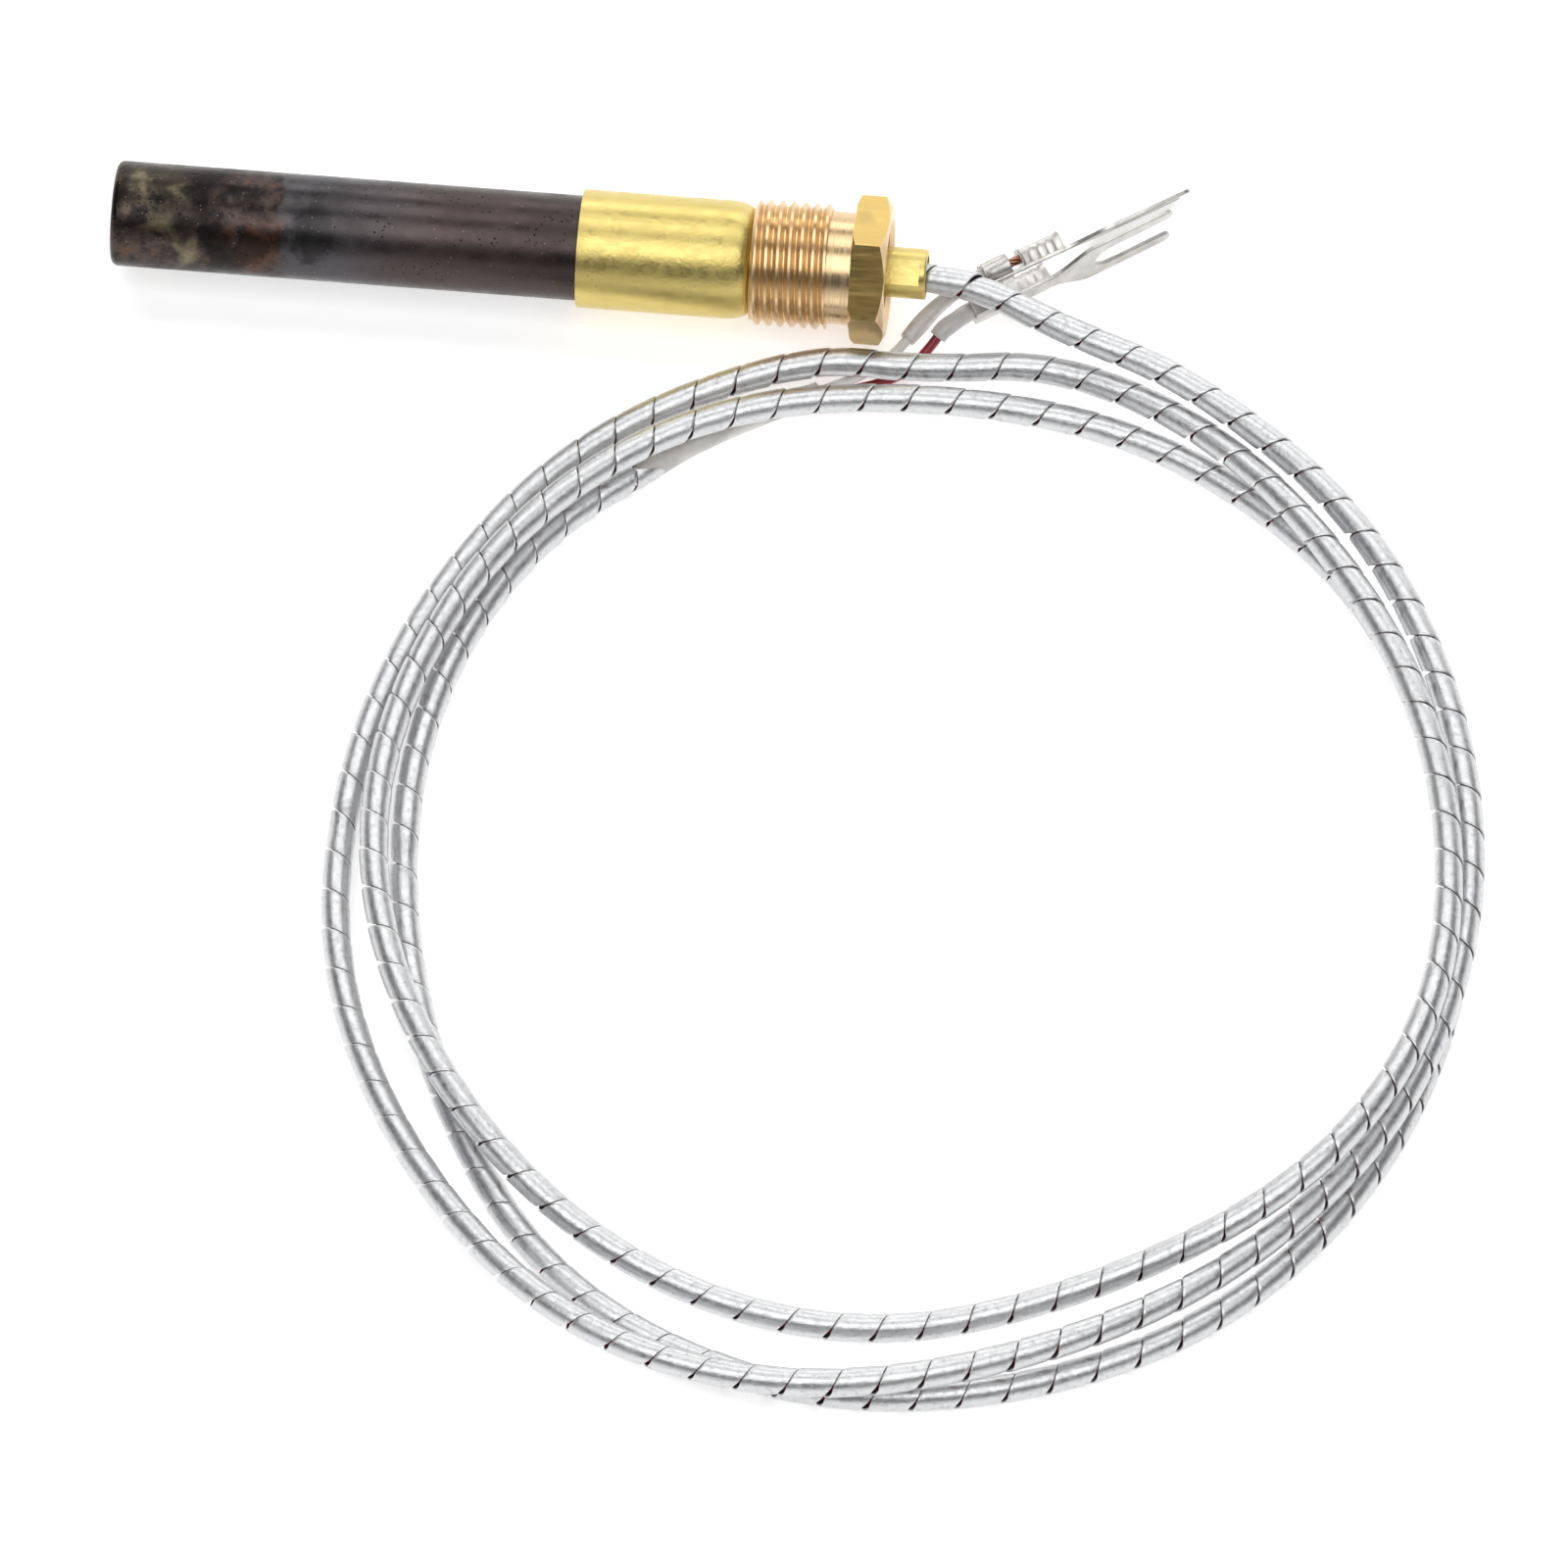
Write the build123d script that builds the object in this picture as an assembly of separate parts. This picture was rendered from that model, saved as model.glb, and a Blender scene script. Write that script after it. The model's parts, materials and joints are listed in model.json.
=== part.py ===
"""Thermopile generator for a gas pilot: hot tube, brass cold-end sleeve, loose mounting nut, armoured lead.

Frame: origin on the probe's axis at the front face of the mounting nut, +X along the axis from the closed hot
end towards the lead, +Z up. The part lies on a flat surface FLOOR_Z below the axis. Millimetres throughout.
"""

from build123d import *
from math import cos, pi, radians, sin, tan
import os

os.makedirs("parts", exist_ok=True)

# ---- driving dimensions ----

# Hot tube: half inch stainless, closed at its far end.
HOT_TUBE_OD = 12.7
HOT_TUBE_WALL = 0.5
HOT_END_THICK = 0.8
HOT_TIP_X = -77.4
HOT_TIP_EDGE_R = 0.9
HOT_TUBE_INSERT = 8.0  # how far it goes into the brass sleeve

# Cold-end sleeve: nine sixteenths of an inch, drawn down to the neck.
SLEEVE_OD = 14.29
SLEEVE_WALL = 0.75
SLEEVE_FRONT_X = -20.9
SHOULDER_LENGTH = 3.2  # the shoulder is a quarter of an ellipse, this long
SHOULDER_DROP = 1.35  # and this deep
NECK_OD = 6.1
NECK_WALL = 0.75
NECK_END_X = 21.0
NECK_BLEND_R = 0.8
NECK_RIM_R = 0.3

# Pressed flats that grip the lead in the neck.
FLAT_FROM_X = 14.6
FLAT_TO_X = 20.2
FLAT_DEPTH = 0.4
FLAT_TURN = 30.0  # degrees from straight up, towards -Y

# Mounting nut: PG9 thread, 18 threads per inch, 5/8 inch hexagon.
THREAD_OD = 15.2
THREAD_PITCH = 1.411
THREAD_DEPTH = 0.67
THREAD_LENGTH = 9.2
THREAD_LEAD_IN = 0.45
THREAD_CREST = 0.32
THREAD_ROOT = 0.12
GROOVE_START = 1.2  # turns of groove cut in front of the nut
RELIEF_OD = 13.6
RELIEF_LENGTH = 3.0
HEX_AF = 15.875
HEX_LENGTH = 4.2
HEX_TURN = 12.2  # degrees from a corner straight up, towards -Y
HEX_REAR_TURN_R = HEX_AF / 2 - 0.15  # the flats are turned back to this at the rear
HEX_FRONT_TURN_R = HEX_AF / 2 + 0.45
HEX_TURN_SLOPE = 30.0
NUT_BORE = 11.8
NUT_COUNTERSINK = 0.55
NUT_LENGTH = THREAD_LENGTH + RELIEF_LENGTH + HEX_LENGTH

# The surface the part lies on: level with the hexagon's lowest corner.
HEX_CORNER_R = HEX_AF / 2 / cos(pi / 6)
FLOOR_Z = -HEX_CORNER_R * cos(radians(HEX_TURN))

# Thermopile inside the hot tube.
COUPLES = 24
LEG_RING_R = 4.45
LEG_WIDTH = 0.34
LEG_THICK = 0.3
LEG_HOT_X = -74.4
LEG_COLD_X = -9.4
JUNCTION_LENGTH = 0.8
CORE_R = 3.9
CORE_HOT_X = -73.6
CORE_COLD_X = -9.8
CORE_BORE_R = 0.8
MICA_R = 5.25
MICA_THICK = 0.3
DISC_THICK = 0.8
DISC_R = 5.6
DISC_HOLE_R = 0.5
DISC_GAP = 0.3  # between the cold junctions and their disc
HOT_DISC_X = HOT_TIP_X + 0.9
MICA_HOT_X = HOT_TIP_X + 2.0
POTTING_R = 6.1
POTTING_FROM_X = -6.6
POTTING_TO_X = -3.4
SPLICE_R = 0.6
SPLICE_BORE = 0.42
SPLICE_LENGTH = 1.3

# Lead: spiral aluminium armour round two insulated conductors.
ARMOUR_OD = 3.5
ARMOUR_ID = 3.0
LEAD_OD = 1.2
LEAD_ID = 0.84
CONDUCTOR_OD = 0.56
LEAD_OFFSET = 0.68  # each lead's height above or below the armour's centre line
BUSH_OD = 4.4
BUSH_ID = 3.7
BUSH_LENGTH = 7.0
BUSH_END_X = NECK_END_X - 0.4
POTTING_HOLE_R = LEAD_OD / 2 + 0.12

# Grey sleeves.
OUTER_SLEEVE_OD = 3.3
OUTER_SLEEVE_ID = 2.86
TERMINAL_SLEEVE_OD = 2.3
TERMINAL_SLEEVE_ID = 1.5
SLEEVE_GAP = 0.3  # between the armour's cut end and the outer sleeve
OUTER_SLEEVE_SHARE = 0.8  # how far along the tail's last run the outer sleeve reaches

# Fork terminals, from 0.5 mm tinned strip.
FORK_LENGTH = 27.0
FORK_THICK = 0.5
FORK_WIDTH = 8.3
FORK_SLOT = 4.4
FORK_SLOT_DEPTH = 10.6
FORK_BARREL_OFFSET = 1.2
INSULATION_CRIMP = (0.0, 3.4)
CONDUCTOR_CRIMP = (5.0, 10.2)
CRIMP_WALL = 0.4
CRIMP_GAP = 0.15  # between the insulation crimp and the sleeve in it
CRIMP_BORE_R = 0.45
BARREL_WIDTH = 2.6
BARREL_HEIGHT = 2.1
BARREL_EDGE_R = 0.6
FORK_HEAD_X = 12.0
FORK_SHOULDER_R = 3.2
FORK_TIP_R = 0.9

# How far along the barrels' axis each piece reaches.
SLEEVE_END_X = 3.0
COVER_END_X = 3.6
CONDUCTOR_END_X = 9.8
LAST_BEND_X = -3.0

# Route of the lead: control points of its centre line, first the stretch in the neck, then just over two
# and a half loose turns on the surface.
ROUTE = [
    (13, 0, 0), (25, 0, 0), (38, -6, -0.4), (54, -11, -1.4),
    (76, -27, -2.8), (90, -52, -3.4), (95, -81, -3), (89, -109, -2.8),
    (71, -131, -4.6), (47, -146, -3), (19, -153, -3), (-8, -146, -3.6),
    (-28, -125, -6.8), (-41, -99, -7.2), (-42, -70, -7.2), (-34, -44, -7.2),
    (-18, -21.5, -7.2), (7, -10, -4.4), (21, -10.9, -4.2), (39, -8, -4.8),
    (62, -19.5, -3.6), (81, -43, -1.6), (91, -68, 0), (92, -97, 1),
    (79, -121, 0.6), (53, -135, -6), (26, -143, -7.2), (-2, -136, -6.6),
    (-24, -118, -2.6), (-37, -92, -3.2), (-38, -64, -4.4), (-26, -37, -3),
    (-4, -19, -3), (23, -14, -4), (51, -16, -7.2), (76, -33, -7.2),
    (89, -57, -7.2), (94, -84, -7.2), (88, -112, -7.2), (71, -136, -7.2),
    (45, -149, -7.2), (17, -151, -7.2), (-10, -139, -7.2), (-26, -115, -7.2),
    (-34, -88, -7.2), (-34, -61, -7.2), (-24, -37, -7.2), (-12, -27, -7.2),
]

# The leads leave the armour's cut end, run through the outer sleeve and then part, each to its own terminal.
TAIL = [(-7, -22.8, -7.2), (3, -16, -7.3), (10.6, -13, -7.3)]
WHITE_TAIL = [(17, -8, -7.8), (21, -2, -6.4)]
RED_TAIL = [(18.5, -10, -8.2), (21.6, -6.6, -6.8)]
WHITE_FORK = {"start": (27.9, 2.2), "heading": 33.5, "roll": -64.0}
RED_FORK = {"start": (27.0, -2.8), "heading": 35.0, "roll": -82.0}
LEAD_START_X = -5.6
CONDUCTOR_START_X = -7.0

# How far a cutter runs past the faces it opens.
PAST = 1.0


# ---- helpers ----


def save(name, *solids):
    """Writes one node from one or more separate solids."""
    shape = solids[0] if len(solids) == 1 else Compound(children=list(solids))
    export_step(shape, f"parts/{name}.step")


def along_x(x, turn=0.0):
    """A plane across the X axis at x, its own x axis turned from straight up towards -Y."""
    t = radians(turn)
    return Plane(origin=(x, 0, 0), x_dir=(0, -sin(t), cos(t)), z_dir=(1, 0, 0))


def rod(x0, x1, r):
    return extrude(along_x(x0) * Circle(r), x1 - x0)


def pipe(x0, x1, outer, inner):
    return rod(x0, x1, outer) - rod(x0 - PAST, x1 + PAST, inner)


def around_x(profile):
    """Revolves a closed profile drawn in X and radius (as Z) round the X axis."""
    return revolve(profile, Axis.X)


def rims(shape):
    """The circular edges at the shape's rear end, smallest first."""
    return shape.edges().filter_by(GeomType.CIRCLE).group_by(Axis.X)[-1].sort_by(SortBy.RADIUS)


def radii(points):
    """The largest arc each corner of a route allows: 0.45 of its shorter run."""
    found = []
    for before, here, after in zip(points, points[1:], points[2:]):
        run_in = Vector(*here) - Vector(*before)
        run_out = Vector(*after) - Vector(*here)
        half_turn = radians(run_in.get_angle(run_out)) / 2
        found.append(0.45 * min(run_in.length, run_out.length) / tan(half_turn))
    return found


def tube(points, corner_radii, outer, inner=0.0):
    path = FilletPolyline(*points, radius=corner_radii)
    across = Plane(origin=path @ 0, z_dir=path % 0)
    section = across * Circle(outer / 2)
    if inner:
        section -= across * Circle(inner / 2)
    return sweep(section, path=path), path.length


def check_tube(name, solid, length, outer, inner=0.0):
    exact = pi / 4 * (outer**2 - inner**2) * length
    print(f"{name}: length {length:.1f} mm, volume {solid.volume:.1f}, section times length {exact:.1f} mm3")


def raised(points, height):
    return [(x, y, z + height) for x, y, z in points]


def between(a, b, share=0.5):
    return tuple(p + (q - p) * share for p, q in zip(a, b))


# ---- probe ----


def hot_shell():
    end_x = SLEEVE_FRONT_X + HOT_TUBE_INSERT
    outer = rod(HOT_TIP_X, end_x, HOT_TUBE_OD / 2)
    outer = fillet(outer.edges().group_by(Axis.X)[0], HOT_TIP_EDGE_R)
    inner = rod(HOT_TIP_X + HOT_END_THICK, end_x + PAST, HOT_TUBE_OD / 2 - HOT_TUBE_WALL)
    return outer - inner


def cold_sleeve():
    r_out = SLEEVE_OD / 2
    r_neck = NECK_OD / 2
    ring_r = r_out - SHOULDER_DROP
    foot_r = r_neck + NECK_BLEND_R

    def surface(depth, neck_blend, neck):
        """One side of the wall, this deep under the outside, from the front rim to the neck's end."""
        length = SHOULDER_LENGTH - depth
        drop = SHOULDER_DROP - depth
        rim_end = (-SHOULDER_LENGTH, 0, ring_r + drop)
        shoulder = EllipticalCenterArc((-SHOULDER_LENGTH, ring_r), length, drop, arc_size=90)
        foot = (NECK_BLEND_R, 0, neck)
        knee = (NECK_BLEND_R - neck_blend * cos(pi / 4), 0, foot_r - neck_blend * sin(pi / 4))
        return [
            Line((SLEEVE_FRONT_X, 0, ring_r + drop), rim_end),
            Plane.XZ * shoulder,
            Line((-depth, 0, ring_r), (-depth, 0, foot_r)),
            ThreePointArc((-depth, 0, foot_r), knee, foot),
            Line(foot, (NECK_END_X, 0, neck)),
        ]

    outside = surface(0, NECK_BLEND_R, r_neck)
    inside = surface(SLEEVE_WALL, NECK_BLEND_R + NECK_WALL, r_neck - NECK_WALL)
    ends = [
        Line(outside[0] @ 0, inside[0] @ 0),
        Line(outside[-1] @ 1, inside[-1] @ 1),
    ]
    wall = around_x(make_face(outside + inside + ends))
    wall = fillet(rims(wall)[-1], NECK_RIM_R)
    cutter = 2.0
    for turn in (FLAT_TURN, FLAT_TURN + 180):
        press = along_x((FLAT_FROM_X + FLAT_TO_X) / 2, turn) * Pos(r_neck - FLAT_DEPTH + cutter / 2, 0, 0)
        wall -= press * Box(cutter, NECK_OD, FLAT_TO_X - FLAT_FROM_X)
    return wall


def thread_groove():
    """The V groove of the thread, from in front of the nut to just inside the relief."""
    helix = Helix(
        pitch=THREAD_PITCH,
        height=THREAD_LENGTH + 2 * THREAD_PITCH,
        radius=THREAD_OD / 2,
        center=(-GROOVE_START * THREAD_PITCH, 0, 0),
        direction=(1, 0, 0),
    )
    start = helix @ 0
    across = Plane(origin=start, x_dir=(0, start.Y, start.Z), z_dir=helix % 0)
    above = 0.1
    mouth = (THREAD_PITCH - THREAD_CREST) / 2 * (1 + above / THREAD_DEPTH)
    root = THREAD_ROOT / 2
    outline = [(above, -mouth), (above, mouth), (-THREAD_DEPTH, root), (-THREAD_DEPTH, -root)]
    return sweep(across * make_face(Polyline(*outline, close=True)), path=helix, is_frenet=True)


def threaded_nut():
    hex_x = THREAD_LENGTH + RELIEF_LENGTH
    shank = rod(0, hex_x, THREAD_OD / 2)
    shank = chamfer(shank.edges().group_by(Axis.X)[0], THREAD_LEAD_IN)
    shank -= thread_groove()
    shank -= pipe(THREAD_LENGTH, hex_x, THREAD_OD / 2 + PAST, RELIEF_OD / 2)
    hexagon = extrude(along_x(hex_x, HEX_TURN) * RegularPolygon(HEX_CORNER_R, 6), HEX_LENGTH)
    slope = tan(radians(HEX_TURN_SLOPE))
    beyond = HEX_CORNER_R + PAST
    turned = around_x(
        make_face(
            Polyline(
                (hex_x, 0, 0),
                (hex_x, 0, HEX_FRONT_TURN_R),
                (hex_x + (beyond - HEX_FRONT_TURN_R) * slope, 0, beyond),
                (NUT_LENGTH - (beyond - HEX_REAR_TURN_R) * slope, 0, beyond),
                (NUT_LENGTH, 0, HEX_REAR_TURN_R),
                (NUT_LENGTH, 0, 0),
                close=True,
            )
        )
    )
    nut = shank + (hexagon & turned)
    nut -= rod(-PAST, NUT_LENGTH + PAST, NUT_BORE / 2)
    return chamfer(rims(nut)[0], NUT_COUNTERSINK)


# ---- thermopile ----


def leg_place(number, x):
    """A plane across the axis at x, centred on one leg's place in the ring."""
    return along_x(x, number * 360 / (2 * COUPLES)) * Pos(LEG_RING_R, 0, 0)


def strip(number, x0, x1, width):
    return extrude(leg_place(number, x0) * Rectangle(LEG_THICK, width), x1 - x0)


def legs(first):
    return [strip(n, LEG_HOT_X, LEG_COLD_X, LEG_WIDTH) for n in range(first, 2 * COUPLES, 2)]


def junctions(numbers, x0, x1):
    """Bridges, each over the two neighbouring legs whose middle it sits at."""
    span = LEG_WIDTH + LEG_RING_R * radians(360 / (2 * COUPLES))
    return [strip(n, x0, x1, span) for n in numbers]


def ceramic_core():
    return pipe(CORE_HOT_X, CORE_COLD_X, CORE_R, CORE_BORE_R)


def cold_end_disc():
    x0 = LEG_COLD_X + JUNCTION_LENGTH + DISC_GAP
    x1 = x0 + DISC_THICK
    disc = rod(x0, x1, DISC_R)
    for side in (-1, 1):
        disc -= Pos(0, 0, side * LEAD_OFFSET) * rod(x0 - PAST, x1 + PAST, DISC_HOLE_R)
    return disc


def potting_plug():
    plug = rod(POTTING_FROM_X, POTTING_TO_X, POTTING_R)
    hole = rod(POTTING_FROM_X - PAST, POTTING_TO_X + PAST, POTTING_HOLE_R)
    for side in (-1, 1):
        plug -= Pos(0, 0, side * LEAD_OFFSET) * hole
    return plug


def lead_splice(side):
    start = CONDUCTOR_START_X - 0.1
    return Pos(0, 0, side * LEAD_OFFSET) * pipe(start, start + SPLICE_LENGTH, SPLICE_R, SPLICE_BORE)


# ---- terminals ----


def fork_frame(fork):
    """The terminal's own plane: x along it, y across its width, z out of its strip, on the barrels' side."""
    heading, roll = radians(fork["heading"]), radians(fork["roll"])
    along = Vector(cos(heading), sin(heading), 0)
    side = Vector(-sin(heading), cos(heading), 0)
    out = side * -sin(roll) + Vector(0, 0, 1) * cos(roll)
    height = FORK_WIDTH / 2 * abs(sin(roll)) + FORK_THICK / 2 * abs(cos(roll))
    x, y = fork["start"]
    return Plane(origin=(x, y, FLOOR_Z + height), x_dir=along, z_dir=out)


def fork_terminal(fork):
    strip_face = Pos((FORK_HEAD_X + 2) / 2, 0) * Rectangle(FORK_HEAD_X + 2, BARREL_WIDTH)
    head = Pos((FORK_HEAD_X + FORK_LENGTH) / 2, 0) * Rectangle(FORK_LENGTH - FORK_HEAD_X, FORK_WIDTH)
    head = fillet(head.vertices().group_by(Axis.X)[0], FORK_SHOULDER_R)
    slot_r = FORK_SLOT / 2
    root_x = FORK_LENGTH - FORK_SLOT_DEPTH + slot_r
    open_end = FORK_LENGTH + PAST
    outline = strip_face + head
    outline -= Pos(root_x, 0) * Circle(slot_r)
    outline -= Pos((root_x + open_end) / 2, 0) * Rectangle(open_end - root_x, FORK_SLOT)
    outline = fillet(outline.vertices().group_by(Axis.X)[-1], FORK_TIP_R)
    blade = extrude(outline, FORK_THICK / 2, both=True)
    ring_r = TERMINAL_SLEEVE_OD / 2 + CRIMP_GAP
    ring_x0, ring_x1 = INSULATION_CRIMP
    grip_x0, grip_x1 = CONDUCTOR_CRIMP
    lengthwise = Plane(origin=(ring_x0, 0, FORK_BARREL_OFFSET), z_dir=(1, 0, 0))
    ring = extrude(lengthwise * Circle(ring_r + CRIMP_WALL), ring_x1 - ring_x0)
    grip = Box(grip_x1 - grip_x0, BARREL_WIDTH, BARREL_HEIGHT)
    grip = fillet(grip.edges().filter_by(Axis.X), BARREL_EDGE_R)
    body = blade + ring + Pos((grip_x0 + grip_x1) / 2, 0, FORK_BARREL_OFFSET) * grip
    body -= extrude(lengthwise.offset(-PAST) * Circle(ring_r), ring_x1 - ring_x0 + PAST)
    bore_x0 = ring_x1 - 0.5
    body -= extrude(lengthwise.offset(bore_x0) * Circle(CRIMP_BORE_R), grip_x1 + PAST - bore_x0)
    return fork_frame(fork) * body


def barrel_point(fork, x):
    """A point on the axis of a terminal's barrels, in the part's frame."""
    point = fork_frame(fork).from_local_coords(Vector(x, 0, FORK_BARREL_OFFSET))
    return (point.X, point.Y, point.Z)


# ---- lead ----


def lead_route(height, tail, fork, start_x, end_x):
    """One conductor's route from inside the probe to its terminal, and the radii of its corners."""
    shared = raised([(start_x, 0, 0)] + ROUTE[1:-1] + TAIL, height)
    points = shared + tail + [barrel_point(fork, LAST_BEND_X), barrel_point(fork, end_x)]
    own = radii(points)
    in_armour = radii(ROUTE)
    return points, in_armour + own[len(in_armour):]


def report_radii(name, points, corner_radii):
    turns = []
    for before, here, after in zip(points, points[1:], points[2:]):
        turns.append((Vector(*here) - Vector(*before)).get_angle(Vector(*after) - Vector(*here)))
    print(f"{name}: smallest radius {min(corner_radii):.1f} mm, largest turn {max(turns):.0f} degrees")
    print("  radii " + " ".join(f"{r:.0f}" for r in corner_radii))


def armour():
    corner_radii = radii(ROUTE)
    report_radii("cable_armour", ROUTE, corner_radii)
    solid, length = tube(ROUTE, corner_radii, ARMOUR_OD, ARMOUR_ID)
    check_tube("cable_armour", solid, length, ARMOUR_OD, ARMOUR_ID)
    return solid


def insulated_lead(name, height, tail, fork):
    points, corner_radii = lead_route(height, tail, fork, LEAD_START_X, COVER_END_X)
    report_radii(name, points[len(ROUTE) - 2:], corner_radii[len(ROUTE) - 2:])
    cover, length = tube(points, corner_radii, LEAD_OD, LEAD_ID)
    check_tube(f"{name}_insulation", cover, length, LEAD_OD, LEAD_ID)
    points, corner_radii = lead_route(height, tail, fork, CONDUCTOR_START_X, CONDUCTOR_END_X)
    core, length = tube(points, corner_radii, CONDUCTOR_OD)
    check_tube(f"{name}_conductor", core, length, CONDUCTOR_OD)
    return cover, core


def outer_sleeve():
    end = Vector(*ROUTE[-1])
    heading = (end - Vector(*ROUTE[-2])).normalized()
    start = end + heading * SLEEVE_GAP
    points = [(start.X, start.Y, start.Z), TAIL[0], TAIL[1], between(TAIL[1], TAIL[2], OUTER_SLEEVE_SHARE)]
    lead_points = [ROUTE[-2]] + TAIL
    solid, length = tube(points, radii(lead_points), OUTER_SLEEVE_OD, OUTER_SLEEVE_ID)
    check_tube("outer_sleeve", solid, length, OUTER_SLEEVE_OD, OUTER_SLEEVE_ID)
    return solid


def terminal_sleeve(height, tail, fork, first):
    """A sleeve over the end of one lead, from the middle of a run into the insulation crimp."""
    points, corner_radii = lead_route(height, tail, fork, LEAD_START_X, COVER_END_X)
    start = between(points[first - 1], points[first])
    kept = [start] + points[first:-1] + [barrel_point(fork, SLEEVE_END_X)]
    solid, length = tube(kept, corner_radii[first + 1:], TERMINAL_SLEEVE_OD, TERMINAL_SLEEVE_ID)
    check_tube("terminal_sleeve", solid, length, TERMINAL_SLEEVE_OD, TERMINAL_SLEEVE_ID)
    return solid


# ---- build ----

save("hot_shell", hot_shell())
save("cold_sleeve", cold_sleeve())
save("threaded_nut", threaded_nut())

save("positive_legs", *legs(0))
save("negative_legs", *legs(1))
hot_places = [2 * n + 0.5 for n in range(COUPLES)]
cold_places = [2 * n + 1.5 for n in range(COUPLES - 1)]
save("hot_junctions", *junctions(hot_places, LEG_HOT_X - JUNCTION_LENGTH, LEG_HOT_X))
save("cold_junctions", *junctions(cold_places, LEG_COLD_X, LEG_COLD_X + JUNCTION_LENGTH))
save("ceramic_core", ceramic_core())
save("mica_wrap", pipe(MICA_HOT_X, LEG_COLD_X + JUNCTION_LENGTH, MICA_R, MICA_R - MICA_THICK))
save("hot_end_disc", rod(HOT_DISC_X, HOT_DISC_X + DISC_THICK, DISC_R))
save("cold_end_disc", cold_end_disc())
save("potting_plug", potting_plug())
save("lead_splices", lead_splice(1), lead_splice(-1))
save("neck_bush", pipe(BUSH_END_X - BUSH_LENGTH, BUSH_END_X, BUSH_OD / 2, BUSH_ID / 2))

save("cable_armour", armour())
save("outer_sleeve", outer_sleeve())
for colour, height, tail, fork, first in (
    ("white", LEAD_OFFSET, WHITE_TAIL, WHITE_FORK, -3),
    ("red", -LEAD_OFFSET, RED_TAIL, RED_FORK, -2),
):
    cover, core = insulated_lead(f"{colour}_lead", height, tail, fork)
    save(f"{colour}_lead_insulation", cover)
    save(f"{colour}_lead_conductor", core)
    save(f"{colour}_terminal_sleeve", terminal_sleeve(height, tail, fork, first))
    save(f"fork_terminal_{colour}", fork_terminal(fork))
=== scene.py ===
import bmesh
import bpy
import json
import math
import numpy as np
import random
from mathutils import Matrix, Quaternion, Vector, noise


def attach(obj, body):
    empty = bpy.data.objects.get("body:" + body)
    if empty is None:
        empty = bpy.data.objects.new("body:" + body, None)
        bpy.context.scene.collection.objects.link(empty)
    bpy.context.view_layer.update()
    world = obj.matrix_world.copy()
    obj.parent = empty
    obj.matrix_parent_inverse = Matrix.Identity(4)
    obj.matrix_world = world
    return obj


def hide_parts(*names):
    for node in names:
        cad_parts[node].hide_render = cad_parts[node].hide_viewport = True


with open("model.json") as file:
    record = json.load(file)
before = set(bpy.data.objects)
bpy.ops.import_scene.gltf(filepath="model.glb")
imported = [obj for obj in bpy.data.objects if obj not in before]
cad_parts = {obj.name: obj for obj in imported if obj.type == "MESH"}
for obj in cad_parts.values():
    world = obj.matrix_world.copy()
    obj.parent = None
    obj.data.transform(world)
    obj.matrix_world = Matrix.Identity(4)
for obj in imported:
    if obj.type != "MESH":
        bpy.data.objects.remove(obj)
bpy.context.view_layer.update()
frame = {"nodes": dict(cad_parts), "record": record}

MM = 0.001
UP = Vector((0, 0, 1))
FLOOR_Z = -8.958 * MM

# ---- driving dimensions, in millimetres ----

# Armour: a spiral strip of aluminium.
ARMOUR_R = 1.75
ARMOUR_STRIP = 0.2  # thickness of the strip
ARMOUR_PITCH = 5.36
ARMOUR_STEP = 0.13  # how far a turn's downstream edge stands over the next turn
SEAM_CLOSED = 0.20  # gap between turns on top of the lead
SEAM_OPEN = 0.62  # and low on its sides
SEAM_LOW_FROM = 0.70  # height on the lead, as a share of its radius, below which the seam opens
SEAM_LOW_SPAN = 0.5  # and over how much more of it the seam comes fully open
SEAM_SPREAD = (0.75, 1.25)  # how unevenly it opens from turn to turn
TURN_LIFT = 0.03  # how much higher or lower one turn lies than another
ARMOUR_START_TURN = 100.0  # degrees round from the lead's left side

# Across the strip, from its upstream edge to its downstream one: share of the width, and of the step.
STRIP_PROFILE = [
    (0.0, 0.0), (0.05, 0.3), (0.14, 0.55), (0.4, 0.75),
    (0.7, 0.9), (0.93, 1.0), (0.985, 0.9), (1.0, 0.6),
]
TONGUE = 3.6  # torn tongue of strip at the armour's cut end, and the side it is on, in degrees
TONGUE_SIDE = 165.0
CURL = 0.45  # strip's edge curled up just after the neck: its height, and its place and width in turns
CURL_TURN = 2.05
CURL_WIDTH = 0.18
DENTS = [(-41.2, -78.9, 1.6, 0.35), (-34.0, -82.6, 1.8, 0.4)]  # x, y, size, depth

# Leads and their grey sleeves.
LEAD_R = 0.6
CONDUCTOR_R = 0.28
LEAD_OFFSET = 0.68  # each lead's height above or below the armour's centre line
LEAD_START_X = -5.6
CONDUCTOR_START_X = -7.0
OUTER_SLEEVE_R = 1.65
OUTER_SLEEVE_BORE_R = 1.45
OUTER_SLEEVE_LENGTH = 24.5
OUTER_SLEEVE_GAP = 0.3  # between the armour's cut end and the sleeve
OUTER_SLEEVE_SQUEEZE = 0.2  # how far it is pressed oval, as a share of its radius
SLEEVE_R = 1.15
SLEEVE_BORE_R = 0.95
SLEEVE_SQUEEZE = 0.22
SLEEVE_SHORT_OF_END = 0.6  # how far the sleeve ends before the insulation does

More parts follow.
